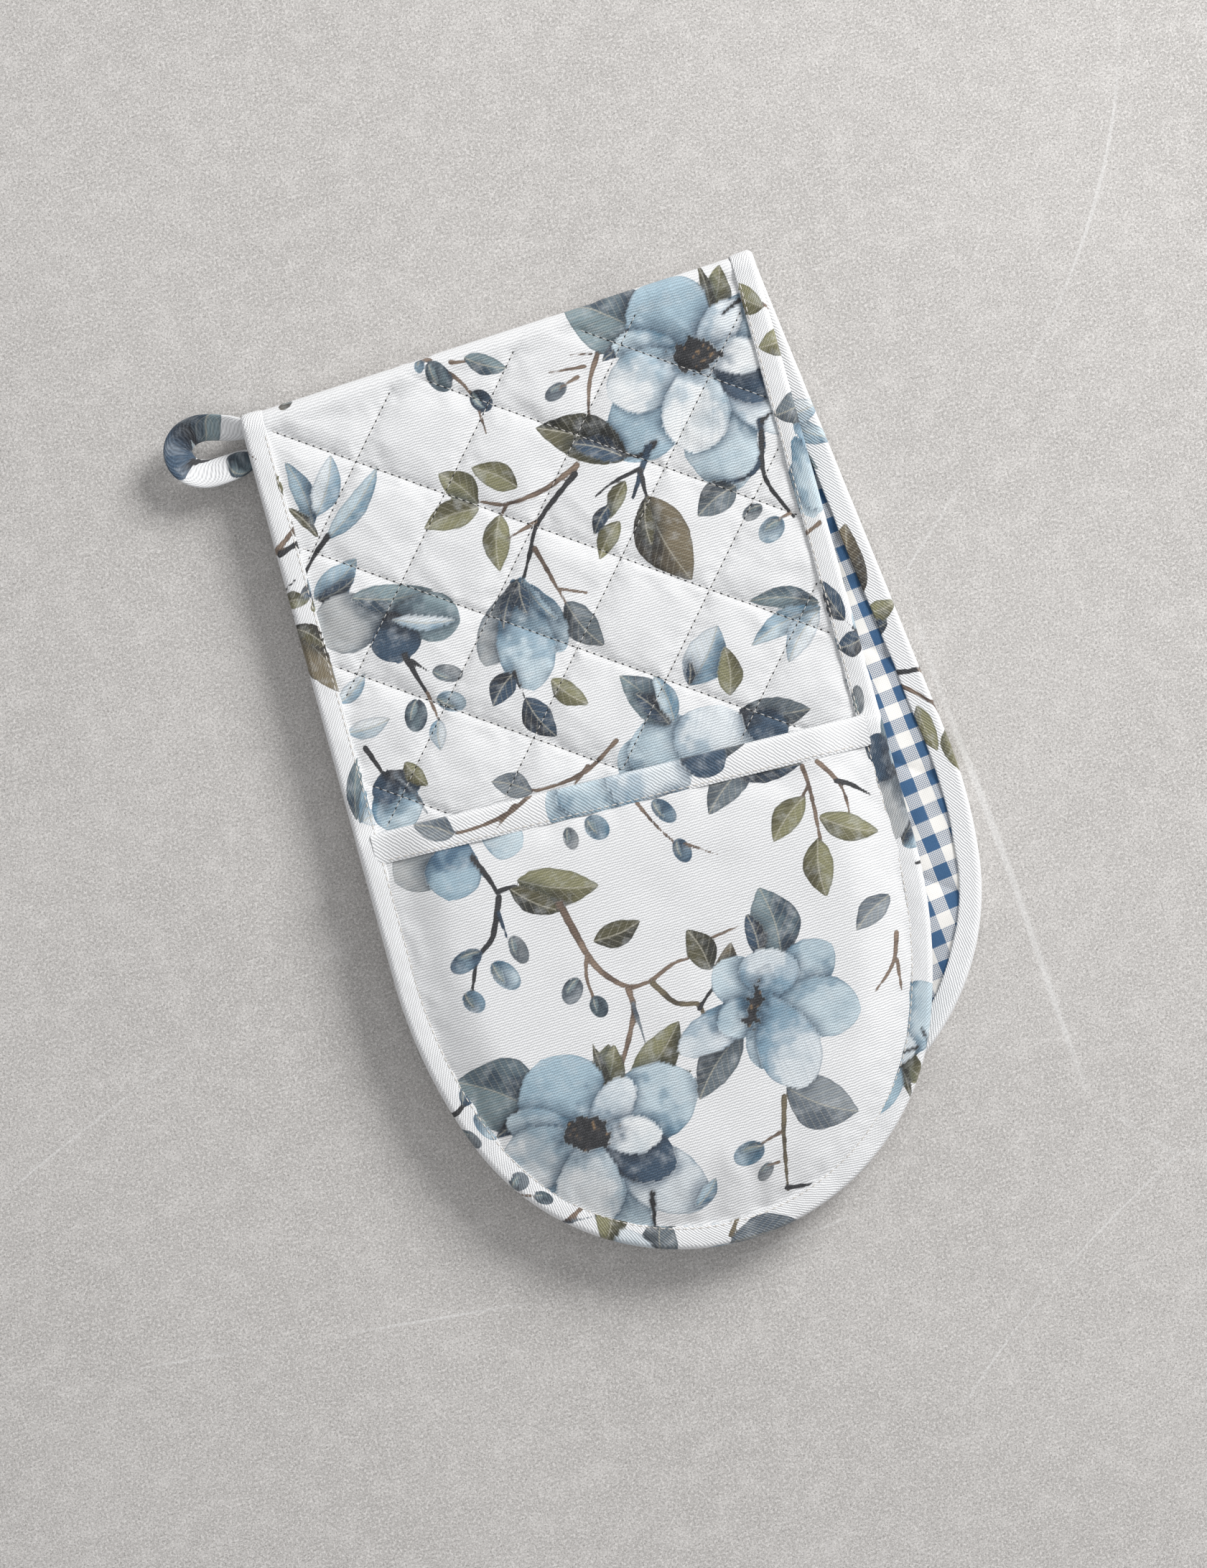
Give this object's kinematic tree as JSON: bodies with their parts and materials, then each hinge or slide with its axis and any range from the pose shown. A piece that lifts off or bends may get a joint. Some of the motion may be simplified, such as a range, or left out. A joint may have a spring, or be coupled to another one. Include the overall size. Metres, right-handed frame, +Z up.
{
  "type": "double oven glove",
  "caption": "Quilted double oven glove, folded in two: a padded cotton band with a hand pocket at each round end, bound edges and a hanging loop.",
  "frame": {"origin": "middle of the folded glove's plan, on the surface it lies on", "axes": "+X along the fold, away from the hanging loop; +Y from the finger ends to the fold; +Z up, out of the lying glove"},
  "size_m": [0.2604, 0.3758, 0.0244],
  "materials": {
    "printed_cotton": "woven cotton canvas, printed with a watercolour floral in blues and greens",
    "binding_tape": "folded tape of the printed cotton",
    "gingham_lining": "blue and white woven gingham",
    "wadding": "white felted wadding",
    "quilting_thread": "off-white quilting thread, drawn down into dark needle holes",
    "white_thread": "off-white topstitching thread"
  },
  "bodies": {
    "lower_mitt": {"lower_pocket_cloth": "printed_cotton", "lower_pocket_wadding": "wadding", "lower_pocket_lining": "gingham_lining", "lower_mouth_binding": "binding_tape", "lower_band_cloth": "printed_cotton", "lower_band_wadding": "wadding", "lower_band_lining": "gingham_lining", "lower_edge_binding": "binding_tape", "lower_edge_stitching": "white_thread", "lower_quilting": "quilting_thread"},
    "fold_spine": {"fold_cloth": "printed_cotton", "fold_wadding": "wadding", "fold_lining": "gingham_lining", "fold_left_binding": "binding_tape", "fold_right_binding": "binding_tape", "loop_bartack": "white_thread"},
    "upper_mitt": {"upper_pocket_cloth": "printed_cotton", "upper_pocket_wadding": "wadding", "upper_pocket_lining": "gingham_lining", "upper_mouth_binding": "binding_tape", "upper_band_cloth": "printed_cotton", "upper_band_wadding": "wadding", "upper_band_lining": "gingham_lining", "upper_edge_binding": "binding_tape", "upper_edge_stitching": "white_thread", "upper_quilting": "quilting_thread"},
    "loop": {"hanging_loop": "binding_tape"}
  },
  "joints": [
    {"name": "fold_lower", "type": "hinge", "parent": "lower_mitt", "child": "fold_spine", "pos_m": [0.00852, 0.18047, 0.00593], "axis": [-1, 0, 0], "range_deg": [0, 90]},
    {"name": "fold_upper", "type": "hinge", "parent": "fold_spine", "child": "upper_mitt", "pos_m": [0.00852, 0.18047, 0.01347], "axis": [-1, 0, 0], "range_deg": [0, 90]},
    {"name": "loop_swing", "type": "hinge", "parent": "fold_spine", "child": "loop", "pos_m": [-0.09998, 0.1733, 0.0097], "axis": [0, 1, 0], "range_deg": [0, 70]}
  ],
  "couplings": [
    {"joint": "fold_upper", "follows": "fold_lower", "ratio": 1}
  ]
}
